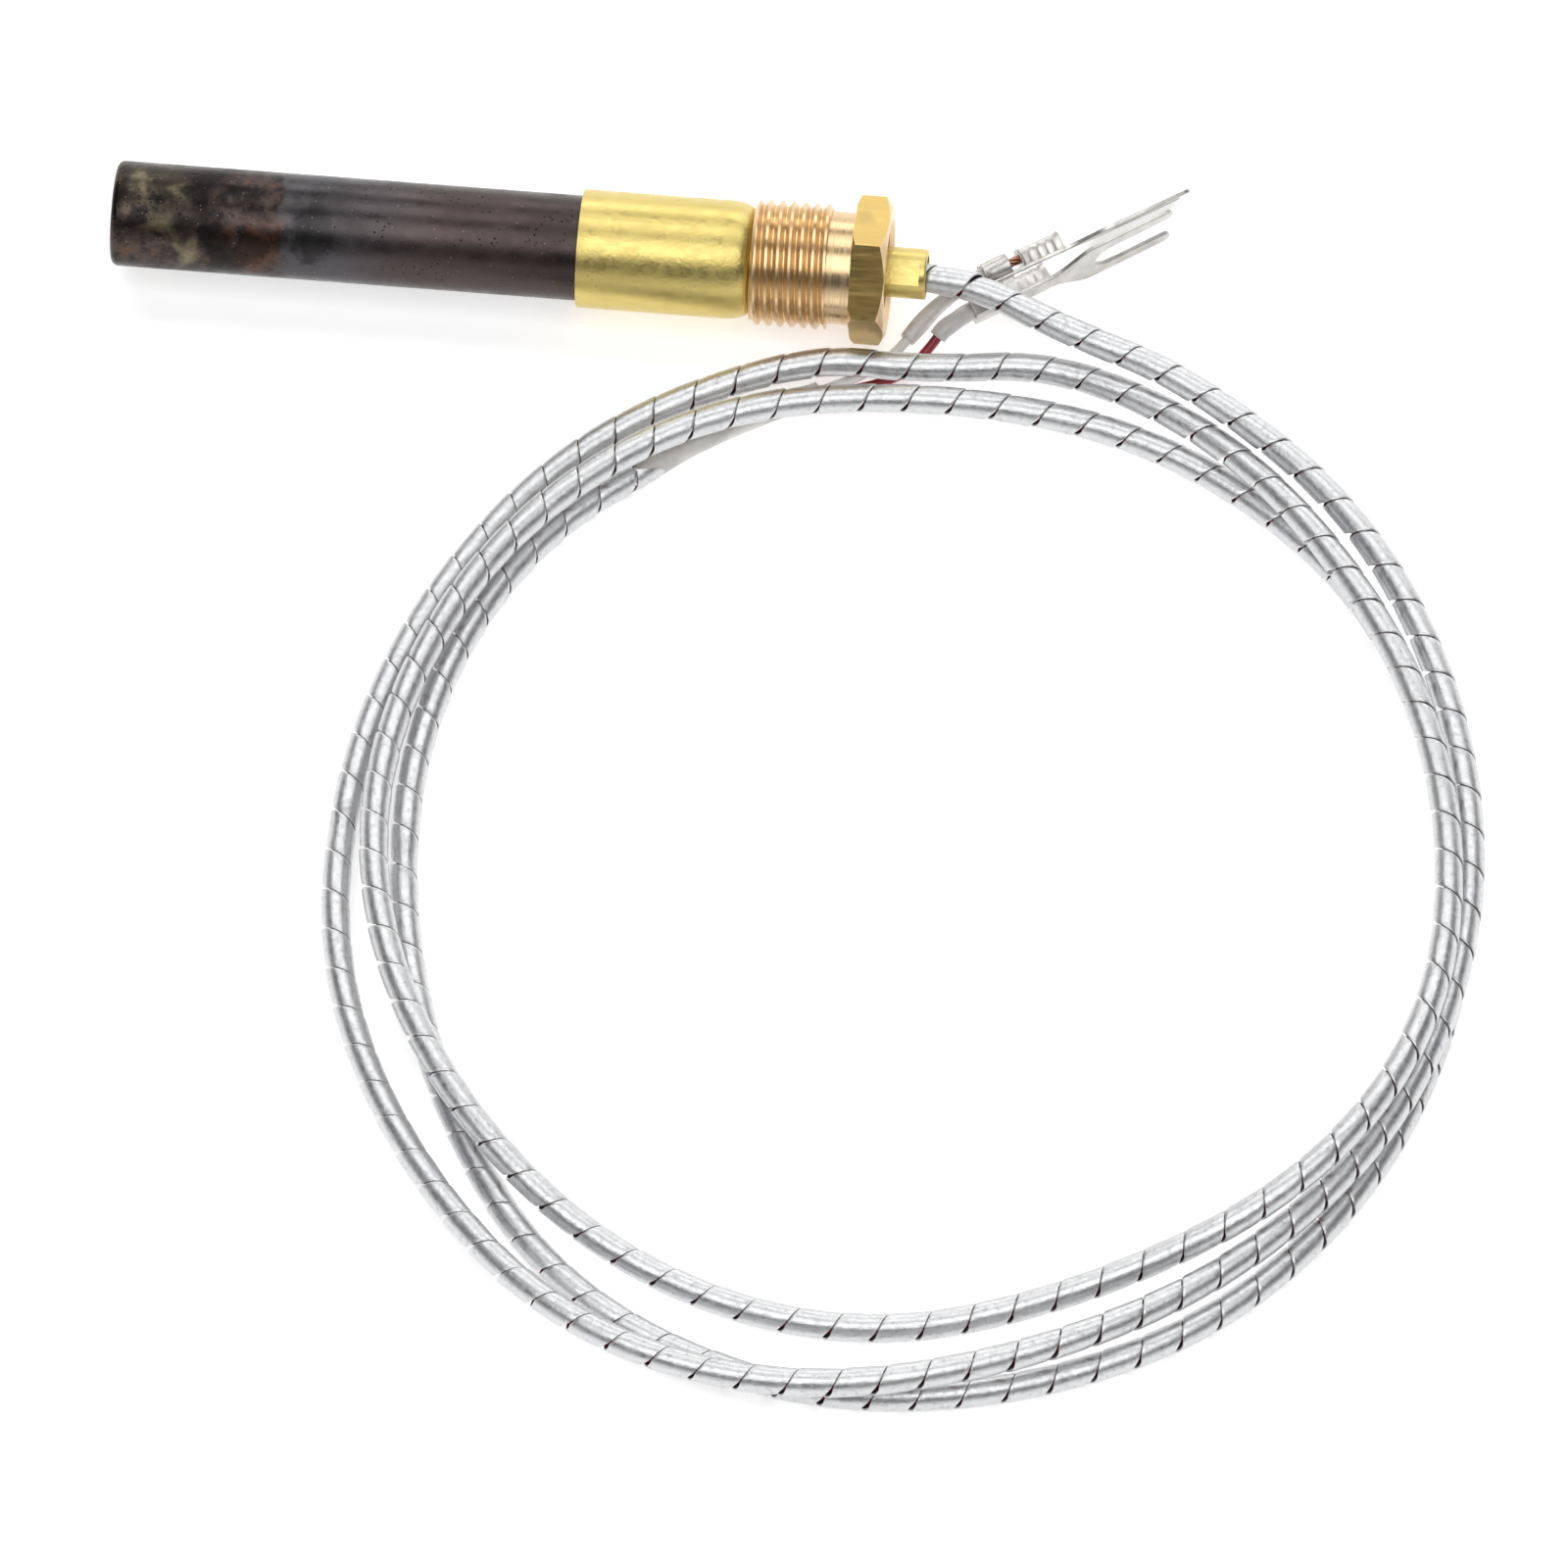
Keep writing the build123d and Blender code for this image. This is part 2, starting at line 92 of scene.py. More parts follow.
# Route of the lead: control points of its centre line.
ROUTE = [
    (13, 0, 0), (25, 0, 0), (38, -6, -0.4), (54, -11, -1.4),
    (76, -27, -2.8), (90, -52, -3.4), (95, -81, -3), (89, -109, -2.8),
    (71, -131, -4.6), (47, -146, -3), (19, -153, -3), (-8, -146, -3.6),
    (-28, -125, -6.8), (-41, -99, -7.2), (-42, -70, -7.2), (-34, -44, -7.2),
    (-18, -21.5, -7.2), (7, -10, -4.4), (21, -10.9, -4.2), (39, -8, -4.8),
    (62, -19.5, -3.6), (81, -43, -1.6), (91, -68, 0), (92, -97, 1),
    (79, -121, 0.6), (53, -135, -6), (26, -143, -7.2), (-2, -136, -6.6),
    (-24, -118, -2.6), (-37, -92, -3.2), (-38, -64, -4.4), (-26, -37, -3),
    (-4, -19, -3), (23, -14, -4), (51, -16, -7.2), (76, -33, -7.2),
    (89, -57, -7.2), (94, -84, -7.2), (88, -112, -7.2), (71, -136, -7.2),
    (45, -149, -7.2), (17, -151, -7.2), (-10, -139, -7.2), (-26, -115, -7.2),
    (-34, -88, -7.2), (-34, -61, -7.2), (-24, -37, -7.2), (-12, -27, -7.2),
]
TAIL = [(-7, -22.8, -7.2), (3, -16, -7.3), (10.6, -13, -7.3)]
WHITE_TAIL = [(17, -8, -7.8), (21, -2, -6.4)]
RED_TAIL = [(18.5, -10, -8.2), (21.6, -6.6, -6.8)]
WHITE_FORK = {"start": (27.9, 2.2), "heading": 33.5, "roll": -64.0}
RED_FORK = {"start": (27.0, -2.8), "heading": 35.0, "roll": -82.0}

# What differs between the two leads: height, tail, terminal, finish, sleeve's length and seed of its creases.
LEADS = (
    ("white", LEAD_OFFSET, WHITE_TAIL, WHITE_FORK, "white_insulation", 15.1, 3),
    ("red", -LEAD_OFFSET, RED_TAIL, RED_FORK, "red_insulation", 8.1, 8),
)

# Fork terminals, from 0.5 mm tinned strip. x runs along one, from the start of its insulation crimp.
FORK_LENGTH = 27.0
FORK_THICK = 0.5
FORK_WIDTH = 8.3
FORK_SLOT = 4.4
FORK_SLOT_DEPTH = 10.6
FORK_NECK_X = 10.6  # where the strip starts to widen
FORK_HEAD_X = 16.2  # and where it is full width
FORK_EDGE = 0.09  # width of the worn edges
BARREL_OFFSET = 1.2
BARREL_WIDTH = 2.6
BARREL_TOP = 1.1  # height of the conductor crimp over the sleeve's axis
INSULATION_CRIMP = (0.0, 3.4)
CONDUCTOR_CRIMP = (4.9, 10.4)
WING_WALL = 0.42
WING_CLEARANCE = 0.16  # between the insulation crimp's wings and the sleeve in them
WING_REACH = 152.0  # degrees that each wing curls round from the strip
WING_FLARE = 0.05
TOOTH_DEPTH = 0.13
TOOTH_COUNT = 5
BELL = 0.16  # how far the conductor crimp's ends flare
STRAND_R = 0.17
STRAND_RING_R = 0.34
STRANDS_X = (2.6, 5.8)

# How far along the barrels' axis each piece reaches.
LAST_BEND_X = -3.0
COVER_END_X = 3.6
CONDUCTOR_END_X = 9.8

# Where the hot tube's heat tint changes along the probe: each change starts and ends at these places.
OLIVE_STOPS = (-69.0, -66.5)
RUST_STARTS = (-61.5, -60.0)
RUST_SPECKS_STOP = (-60.0, -58.0)
BURNT_STOPS = (-58.5, -57.5)
RUST_STOPS = (-57.0, -56.2)
SOOT_THINS = (-56.0, -45.0)
BLUE_TO_BROWN = (-52.0, -36.0)
TINT_WANDER = 12.0  # how far those places wander, for clouds as strong as they can be

# The hexagon's flats keep the bar's drawn skin: it starts at this place and at this radius.
SKIN_FROM_X = (12.1, 12.3)
SKIN_FROM_R = (7.2, 7.6)

# ---- camera and light, in metres, watts and degrees ----

CAMERA_TURN = 8.1
CAMERA_ELEVATION = 60
CAMERA_ROLL = 2.6
CAMERA_DISTANCE = 4.0
CAMERA_AIM = (0.0103, -0.0668, FLOOR_Z)
PICTURE_WIDTH = 0.1875
SENSOR_WIDTH = 36

LAMPS_AIM = (0.0, -0.05, 0.0)
LAMPS = {  # place, size and power
    "key": ((0.0, -0.48, 1.17), (1.6, 0.80), 8.5),
    "over": ((0.0, 0.55, 1.12), (1.6, 0.62), 6.0),
    "back": ((0.0, 1.15, 0.52), (1.6, 0.42), 5.0),
}

# The room is white from the floor up to one height and dark from another, as shares of straight up.
ROOM_WHITE_TO = 0.10
ROOM_DARK_FROM = 0.36
ROOM_DARK = (0.10, 0.10, 0.105, 1)
ROOM_STRENGTH = 0.85

FLOOR_HALF = 4.0
FLOOR_GLOW = 0.5


def look_along(obj, place, forward, right):
    """Stands obj at place, facing forward, with its own x axis along right."""
    back = -forward.normalized()
    right = right.normalized()
    turned = Matrix((right, back.cross(right), back)).transposed().to_4x4()
    obj.matrix_world = Matrix.Translation(place) @ turned


def camera():
    turn = math.radians(CAMERA_TURN)
    elevation = math.radians(CAMERA_ELEVATION)
    flat = Vector((-math.sin(turn), math.cos(turn), 0))
    forward = flat * math.cos(elevation) - UP * math.sin(elevation)
    right = Vector((math.cos(turn), math.sin(turn), 0))
    right.rotate(Quaternion(forward, math.radians(CAMERA_ROLL)))
    data = bpy.data.cameras.new("camera")
    data.sensor_width = SENSOR_WIDTH
    data.lens = SENSOR_WIDTH * CAMERA_DISTANCE / PICTURE_WIDTH
    data.clip_start, data.clip_end = 0.05, 20
    cam = bpy.data.objects.new("camera", data)
    bpy.context.scene.collection.objects.link(cam)
    look_along(cam, Vector(CAMERA_AIM) - forward * CAMERA_DISTANCE, forward, right)
    bpy.context.scene.camera = cam


def lamp(name, place, size, power):
    data = bpy.data.lights.new(name, "AREA")
    data.shape = "RECTANGLE"
    data.size, data.size_y = size
    data.energy = power
    obj = bpy.data.objects.new(name, data)
    bpy.context.scene.collection.objects.link(obj)
    forward = Vector(LAMPS_AIM) - Vector(place)
    look_along(obj, Vector(place), forward, forward.cross(UP))


def studio():
    for name, (place, size, power) in LAMPS.items():
        lamp(name, place, size, power)
    world = bpy.data.worlds.new("studio")
    world.use_nodes = True
    nodes, links = world.node_tree.nodes, world.node_tree.links
    direction = nodes.new("ShaderNodeTexCoord").outputs["Generated"]
    height = nodes.new("ShaderNodeSeparateXYZ")
    shade = nodes.new("ShaderNodeValToRGB")
    links.new(direction, height.inputs[0])
    links.new(height.outputs["Z"], shade.inputs["Fac"])
    links.new(shade.outputs["Color"], nodes["Background"].inputs["Color"])
    low, high = shade.color_ramp.elements
    low.position, low.color = ROOM_WHITE_TO, (1, 1, 1, 1)
    high.position, high.color = ROOM_DARK_FROM, ROOM_DARK
    nodes["Background"].inputs["Strength"].default_value = ROOM_STRENGTH
    bpy.context.scene.world = world
    bpy.context.scene.view_settings.view_transform = "Standard"


def floor(material):
    corners = [(-1, -1), (1, -1), (1, 1), (-1, 1)]
    mesh = bpy.data.meshes.new("floor")
    mesh.from_pydata([(x * FLOOR_HALF, y * FLOOR_HALF, FLOOR_Z) for x, y in corners], [], [(0, 1, 2, 3)])
    obj = bpy.data.objects.new("floor", mesh)
    bpy.context.scene.collection.objects.link(obj)
    mesh.materials.append(material)


# ---- finishes: lengths in metres, noise scales per metre, heights of bumps in millimetres ----


class Finish:
    """A material's node tree, with short ways to add and link its nodes."""

    def __init__(self, name, metallic=0.0, roughness=0.5):
        self.material = bpy.data.materials.new(name)
        self.material.use_nodes = True
        self.tree = self.material.node_tree
        self.shader = self.tree.nodes["Principled BSDF"]
        self.shader.inputs["Metallic"].default_value = metallic
        self.shader.inputs["Roughness"].default_value = roughness
        self.place = self.add("ShaderNodeTexCoord").outputs["Object"]

    def add(self, kind, **settings):
        node = self.tree.nodes.new(kind)
        for name, value in settings.items():
            setattr(node, name, value)
        return node

    def link(self, source, target):
        """Feeds target from another node's output, or sets it to a plain value."""
        if hasattr(source, "links"):
            self.tree.links.new(source, target)
        else:
            target.default_value = source

    def stretched(self, scale, source=None, shift=(0, 0, 0)):
        node = self.add("ShaderNodeMapping")
        self.link(source or self.place, node.inputs["Vector"])
        node.inputs["Scale"].default_value = scale
        node.inputs["Location"].default_value = shift
        return node.outputs["Vector"]

    def noise(self, scale, detail=3.0, rough=0.55, source=None):
        node = self.add("ShaderNodeTexNoise")
        self.link(source or self.place, node.inputs["Vector"])
        node.inputs["Scale"].default_value = scale
        node.inputs["Detail"].default_value = detail
        node.inputs["Roughness"].default_value = rough
        return node.outputs["Fac"]

    def cells(self, scale, source=None):
        """Distance to the nearest of many scattered points."""
        node = self.add("ShaderNodeTexVoronoi")
        self.link(source or self.place, node.inputs["Vector"])
        node.inputs["Scale"].default_value = scale
        return node.outputs["Distance"]

    def math(self, operation, a, b=0.0):
        node = self.add("ShaderNodeMath", operation=operation)
        self.link(a, node.inputs[0])
        self.link(b, node.inputs[1])
        return node.outputs[0]

    def span(self, value, low, high, out_low=0.0, out_high=1.0):
        """value taken from low..high to out_low..out_high, held at the ends."""
        node = self.add("ShaderNodeMapRange", interpolation_type="SMOOTHSTEP")
        self.link(value, node.inputs["Value"])
        limits = {"From Min": low, "From Max": high, "To Min": out_low, "To Max": out_high}
        for name, number in limits.items():
            node.inputs[name].default_value = number
        return node.outputs[0]

    def change(self, length, place, before=0.0, after=1.0):
        """before up to a place's start and after past its end; the place is in millimetres."""
        start, end = place
        return self.span(length, start * MM, end * MM, before, after)

    def axis(self, name, source=None):
        node = self.add("ShaderNodeSeparateXYZ")
        self.link(source or self.place, node.inputs[0])
        return node.outputs[name]

    def blend(self, share, a, b):
        """The colour a, and b where share is one."""
        node = self.add("ShaderNodeMix", data_type="RGBA", blend_type="MIX")
        self.link(share, node.inputs[0])
        for value, socket in ((a, node.inputs[6]), (b, node.inputs[7])):
            self.link(value if hasattr(value, "links") else (*value, 1), socket)
        return node.outputs[2]

    def either(self, share, a, b):
        """The number a, and b where share is one."""
        node = self.add("ShaderNodeMix", data_type="FLOAT")
        self.link(share, node.inputs[0])
        self.link(a, node.inputs[2])
        self.link(b, node.inputs[3])
        return node.outputs[0]

    def colour(self, value):
        self.link(value, self.shader.inputs["Base Color"])

    def rough(self, value):
        self.link(value, self.shader.inputs["Roughness"])

    def bump(self, *layers):
        """Height layers, each (height, distance in mm), stacked into the normal."""
        normal = None
        for height, distance in layers:
            node = self.add("ShaderNodeBump")
            node.inputs["Strength"].default_value = 1.0
            node.inputs["Distance"].default_value = distance * MM
            self.link(height, node.inputs["Height"])
            if normal:
                self.link(normal, node.inputs["Normal"])
            normal = node.outputs["Normal"]
        self.link(normal, self.shader.inputs["Normal"])


def paper_white():
    f = Finish("floor_white", roughness=0.9)
    f.colour(f.blend(f.noise(9, 2), (0.9, 0.9, 0.9), (0.93, 0.93, 0.93)))
    f.shader.inputs["Emission Color"].default_value = (1, 1, 1, 1)
    f.shader.inputs["Emission Strength"].default_value = FLOOR_GLOW
    return f.material


def heat_tinted_steel():
    """Stainless tube: brown, then blue towards the flame, and burnt, rusty and sooty at its closed end."""
    f = Finish("heat_tinted_steel", metallic=0.9, roughness=0.36)
    cloud = f.noise(110, 4, 0.6)
    wobble = f.math("MULTIPLY", f.math("SUBTRACT", cloud, 0.5), TINT_WANDER * MM)
    along = f.math("ADD", f.axis("X"), wobble)
    brown = f.blend(f.noise(60, 3), (0.050, 0.037, 0.036), (0.110, 0.082, 0.078))
    blue = f.blend(f.noise(90, 3), (0.044, 0.038, 0.038), (0.105, 0.102, 0.110))
    rust = f.blend(f.noise(260, 4), (0.06, 0.030, 0.020), (0.19, 0.090, 0.055))
    burnt_share = f.span(f.noise(420, 4, 0.7), 0.38, 0.62)
    burnt = f.blend(burnt_share, (0.018, 0.014, 0.013), (0.078, 0.054, 0.045))
    olive_share = f.span(f.noise(200, 4), 0.4, 0.6)
    olive = f.blend(olive_share, (0.05, 0.040, 0.031), (0.20, 0.165, 0.105))
    colour = f.blend(f.change(along, BLUE_TO_BROWN), blue, brown)
    colour = f.blend(f.change(along, BURNT_STOPS, 0.9, 0.0), colour, burnt)

    rust_band = f.math("MULTIPLY", f.change(along, RUST_STARTS), f.change(along, RUST_STOPS, 1.0, 0.0))
    rust_patches = f.math("MULTIPLY", rust_band, f.span(f.noise(110, 4), 0.44, 0.54))
    colour = f.blend(rust_patches, colour, rust)
    burnt_end = f.change(along, RUST_SPECKS_STOP, 1.0, 0.0)
    rust_specks = f.math("MULTIPLY", burnt_end, f.span(f.noise(330, 4), 0.55, 0.68))
    colour = f.blend(f.math("MULTIPLY", rust_specks, 0.7), colour, rust)
    tip = f.change(along, OLIVE_STOPS, 1.0, 0.0)
    olive_patches = f.math("MULTIPLY", tip, f.span(f.noise(105, 4, 0.6), 0.44, 0.56))
    colour = f.blend(olive_patches, colour, olive)

    sooty_end = f.change(along, SOOT_THINS, 1.0, 0.15)
    soot = f.math("MULTIPLY", sooty_end, f.span(cloud, 0.46, 0.58))
    colour = f.blend(f.math("MULTIPLY", soot, 0.8), colour, (0.010, 0.009, 0.009))
    pitted = f.span(f.noise(230, 3), 0.50, 0.62)
    pits = f.math("MULTIPLY", f.span(f.cells(1700), 0.12, 0.24, 1.0, 0.0), pitted)
    colour = f.blend(pits, colour, (0.006, 0.005, 0.005))
    shifted = f.stretched((1, 1, 1), shift=(0.3, 0.1, 0.2))
    sparks = f.span(f.cells(1100, source=shifted), 0.05, 0.10, 1, 0)
    colour = f.blend(f.math("MULTIPLY", sparks, 0.5), colour, (0.42, 0.38, 0.33))
    f.colour(colour)
    f.rough(f.span(f.noise(240, 4, 0.6), 0.3, 0.7, 0.26, 0.44))
    pit_depth = f.math("SUBTRACT", 1.0, pits)
    f.bump((f.noise(1500, 3, 0.6), 0.018), (pit_depth, 0.05), (f.noise(170, 2), 0.05))
    return f.material


def sleeve_brass():
    """Drawn yellow brass, streaked lengthwise and lightly specked."""
    f = Finish("sleeve_brass", metallic=1.0, roughness=0.3)
    streaks = f.noise(900, 3, 0.6, source=f.stretched((0.15, 1, 1)))
    colour = f.blend(f.noise(150, 3), (0.64, 0.50, 0.155), (0.77, 0.63, 0.235))
    colour = f.blend(f.span(streaks, 0.55, 0.75, 0.0, 0.3), colour, (0.50, 0.38, 0.11))
    specked = f.span(f.noise(210, 2), 0.5, 0.62)
    specks = f.math("MULTIPLY", f.span(f.cells(1100), 0.14, 0.20, 1.0, 0.0), specked)
    colour = f.blend(f.math("MULTIPLY", specks, 0.35), colour, (0.30, 0.22, 0.07))
    f.colour(colour)
    f.rough(f.span(f.noise(600, 3, 0.6), 0.3, 0.7, 0.28, 0.42))
    f.bump((f.noise(2200, 3, 0.65), 0.038), (streaks, 0.006), (f.noise(500, 2), 0.02))
    return f.material


def nut_brass():
    """Freshly turned pinkish brass, but for the hexagon's flats, which keep the bar's drawn skin."""
    f = Finish("nut_brass", metallic=1.0, roughness=0.2)
    normal = f.add("ShaderNodeTexCoord").outputs["Normal"]
    facing_along = f.math("ABSOLUTE", f.axis("X", normal))
    radius = f.add("ShaderNodeVectorMath", operation="LENGTH")
    f.link(f.stretched((0, 1, 1)), radius.inputs[0])
    on_hexagon = f.change(f.axis("X"), SKIN_FROM_X)
    facing_out = f.span(facing_along, 0.10, 0.16, 1.0, 0.0)
    past_bore = f.change(radius.outputs["Value"], SKIN_FROM_R)
    flat = f.math("MULTIPLY", f.math("MULTIPLY", on_hexagon, facing_out), past_bore)
    drawn = f.noise(700, 4, 0.65, source=f.stretched((0.12, 1, 1)))
    skin = f.blend(drawn, (0.36, 0.245, 0.065), (0.72, 0.52, 0.20))
    skin = f.blend(f.span(f.noise(160, 3), 0.5, 0.68, 0, 0.5), skin, (0.27, 0.21, 0.08))
    rings = f.noise(60, 3, 0.6, source=f.stretched((45, 1, 1)))
    turned = f.blend(f.noise(120, 3), (0.70, 0.49, 0.26), (0.82, 0.62, 0.38))
    turned = f.blend(f.span(rings, 0.5, 0.7, 0.0, 0.3), turned, (0.56, 0.37, 0.20))
    f.colour(f.blend(flat, turned, skin))
    rough_skin = f.span(drawn, 0.3, 0.7, 0.26, 0.42)
    rough_turned = f.span(rings, 0.3, 0.7, 0.22, 0.34)
    f.rough(f.either(flat, rough_turned, rough_skin))
    scratches = f.math("MULTIPLY", drawn, flat)
    tool_marks = f.math("MULTIPLY", rings, f.math("SUBTRACT", 1.0, flat))
    f.bump((scratches, 0.03), (tool_marks, 0.012), (f.noise(900, 3), 0.008))
    return f.material


def armour_aluminium():
    """Rolled strip, with its grain along the strip and a fine crinkle."""
    f = Finish("armour_aluminium", metallic=0.9, roughness=0.35)
    strip = f.add("ShaderNodeUVMap").outputs["UV"]
    drawn = f.noise(1.0, 3, 0.6, source=f.stretched((0.8, 4.0, 1), source=strip))
    crinkle = f.noise(1900, 3, 0.65)
    colour = f.blend(drawn, (0.60, 0.605, 0.61), (0.76, 0.765, 0.77))
    colour = f.blend(f.span(f.noise(1500, 4, 0.7), 0.5, 0.7, 0, 0.7), colour, (0.44, 0.445, 0.46))
    f.colour(colour)
    f.rough(f.span(crinkle, 0.3, 0.7, 0.28, 0.44))
    f.bump((crinkle, 0.034), (drawn, 0.022), (f.noise(330, 2), 0.04))
    return f.material


def soft_plastic(name, light, dark, roughness, scale=500):
    """Flexible insulation or sleeving, cloudy, with faint rubbed marks."""
    f = Finish(name, roughness=roughness)
    rubbed = f.noise(scale, 3, 0.6)
    f.colour(f.blend(f.span(f.noise(scale * 0.4, 3), 0.35, 0.65), light, dark))
    f.rough(f.span(rubbed, 0.3, 0.7, roughness * 0.8, roughness * 1.3))
    f.bump((rubbed, 0.02), (f.noise(scale * 3, 2), 0.006))
    return f.material


def bare_metal(name, light, dark, low, high, scale=400, bump=0.01):
    """Metal with cloudy tone and fine scratches."""
    f = Finish(name, metallic=1.0, roughness=high)
    cloud = f.noise(scale, 4, 0.6)
    scratches = f.noise(1500, 3, 0.7, source=f.stretched((1, 0.2, 1)))
    f.colour(f.blend(f.span(cloud, 0.3, 0.7), dark, light))
    f.rough(f.span(scratches, 0.3, 0.7, low, high))
    f.bump((scratches, bump), (cloud, bump * 2))
    return f.material


def earthy(name, light, dark, roughness, scale=700, bump=0.03):
    """Fired, cast or fibrous stuff: matt, grainy and uneven in tone."""
    f = Finish(name, roughness=roughness)
    grain = f.noise(scale, 4, 0.65)
    f.colour(f.blend(f.span(grain, 0.3, 0.7), dark, light))
    f.rough(f.span(grain, 0.3, 0.7, roughness * 0.85, min(1.0, roughness * 1.1)))
    f.bump((grain, bump), (f.cells(scale * 1.5), bump * 0.5))
    return f.material


FINISHES = {
    "heat_tinted_steel": heat_tinted_steel(),
    "sleeve_brass": sleeve_brass(),
    "nut_brass": nut_brass(),
    "positive_alloy": bare_metal("positive_alloy", (0.50, 0.47, 0.44), (0.30, 0.28, 0.26), 0.3, 0.5),
    "negative_alloy": bare_metal("negative_alloy", (0.62, 0.52, 0.40), (0.42, 0.34, 0.26), 0.3, 0.5),
    "weld": bare_metal("weld", (0.45, 0.44, 0.43), (0.16, 0.15, 0.15), 0.35, 0.6, bump=0.03),
    "ceramic": earthy("ceramic", (0.80, 0.77, 0.70), (0.66, 0.62, 0.55), 0.8),
    "mica": earthy("mica", (0.60, 0.52, 0.38), (0.40, 0.33, 0.22), 0.35, 300, 0.015),
    "potting": earthy("potting", (0.72, 0.68, 0.58), (0.52, 0.48, 0.40), 0.85),
    "bush_fibre": earthy("bush_fibre", (0.46, 0.40, 0.33), (0.26, 0.21, 0.17), 0.9, 1200, 0.05),
    "armour_aluminium": armour_aluminium(),
    "red_insulation": soft_plastic("red_insulation", (0.40, 0.018, 0.040), (0.22, 0.010, 0.024), 0.32),
    "white_insulation": soft_plastic("white_insulation", (0.86, 0.84, 0.80), (0.70, 0.67, 0.62), 0.38),
    "grey_sleeve": soft_plastic("grey_sleeve", (0.78, 0.76, 0.73), (0.56, 0.54, 0.52), 0.28),
    "copper": bare_metal("copper", (0.62, 0.33, 0.20), (0.34, 0.15, 0.085), 0.25, 0.45, 900),
    "tinned_strip": bare_metal(
        "tinned_strip", (0.66, 0.64, 0.61), (0.50, 0.49, 0.47), 0.28, 0.42, 500, 0.006,
    ),
}

for part in frame["record"]["subparts"]:
    for material_slot in frame["nodes"][part["node"]].material_slots:
        material_slot.material = FINISHES[part["material_slot"]]


# ---- curves and meshes ----


def in_metres(point):
    return tuple(c * MM for c in point)


def nurbs(name, points, resolution):
    """A curve with these control points, in millimetres, as its one NURBS spline."""
    data = bpy.data.curves.new(name, "CURVE")
    data.dimensions = "3D"
    data.resolution_u = resolution
    spline = data.splines.new("NURBS")
    spline.points.add(len(points) - 1)
    for target, point in zip(spline.points, points):
        target.co = (*in_metres(point), 1)
    spline.order_u = 3
    spline.use_endpoint_u = True
    return data


class Track:
    """A centre line with, at any distance along it, its place, its left side and its own up."""

    def __init__(self, points):
        bare = bpy.data.objects.new("bare", nurbs("route", points, 16))
        mesh = bpy.data.meshes.new_from_object(bare)
        self.line = np.array([v.co for v in mesh.vertices])
        bpy.data.objects.remove(bare)
        steps = np.linalg.norm(np.diff(self.line, axis=0), axis=1)
        self.along = np.concatenate([[0], np.cumsum(steps)])
        self.length = self.along[-1]
        ahead = np.gradient(self.line, self.along, axis=0)
        ahead /= np.linalg.norm(ahead, axis=1)[:, None]
        left = np.cross((0, 0, 1), ahead)
        left /= np.linalg.norm(left, axis=1)[:, None]
        self.parts = (self.line, left, np.cross(ahead, left))

    def at(self, s):
        """Arrays of place, left and up at the distances s."""
        found = []
        for part in self.parts:
            found.append(np.stack([np.interp(s, self.along, part[:, k]) for k in range(3)], axis=-1))
        return found

    def nearest(self, point):
        """Distance along the line of its vertex nearest to a point in millimetres."""
        away = np.linalg.norm(self.line - np.array(in_metres(point)), axis=1)
        return self.along[int(np.argmin(away))]


def finish_piece(obj, slot, stands_for=()):
    """Lets a piece ride the generator, take its finish from a slot and stand for CAD nodes."""
    bpy.context.scene.collection.objects.link(obj)
    obj.data.materials.append(FINISHES[slot])
    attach(obj, "generator")
    if stands_for:
        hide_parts(*stands_for)
    return obj


def make(name, vertices, faces, slot, stands_for=()):
    """A smooth mesh piece from its vertices and faces."""
    mesh = bpy.data.meshes.new(name)
    mesh.from_pydata([tuple(v) for v in vertices], [], faces)
    mesh.validate()
    shaper = bmesh.new()
    shaper.from_mesh(mesh)
    bmesh.ops.recalc_face_normals(shaper, faces=shaper.faces)
    shaper.to_mesh(mesh)
    shaper.free()
    mesh.shade_smooth()
    return finish_piece(bpy.data.objects.new(name, mesh), slot, stands_for)


def ring_faces(rings, around, closed_ends=True):
    """Quads between rings of points numbered one after another, and a face over each end."""
    faces = []
    for i in range(rings - 1):
        for j in range(around):
            a, b = i * around + j, i * around + (j + 1) % around
            faces.append((a, b, b + around, a + around))
    if closed_ends:
        faces.append(tuple(range(around)))
        faces.append(tuple(range((rings - 1) * around, rings * around)))
    return faces


def eased(share):
    """A share that starts and ends gently."""
    return share * share * (3 - 2 * share)


# ---- the armoured lead ----


def turn_by_turn(turn, low, high):
    """A random value for every turn of the strip, with an even change between one turn and the next."""
    whole = np.arange(0, turn[-1] + 2)
    return np.interp(turn, whole, [random.uniform(low, high) for _ in whole])


def strip_uv(mesh, uv):
    """Gives a mesh one pair of strip coordinates, along and round the lead, for each vertex."""
    layer = mesh.uv_layers.new(name="strip")
    corner = np.zeros(len(mesh.loops), np.int32)
    mesh.loops.foreach_get("vertex_index", corner)
    layer.data.foreach_set("uv", uv[corner].astype(np.float32).ravel())


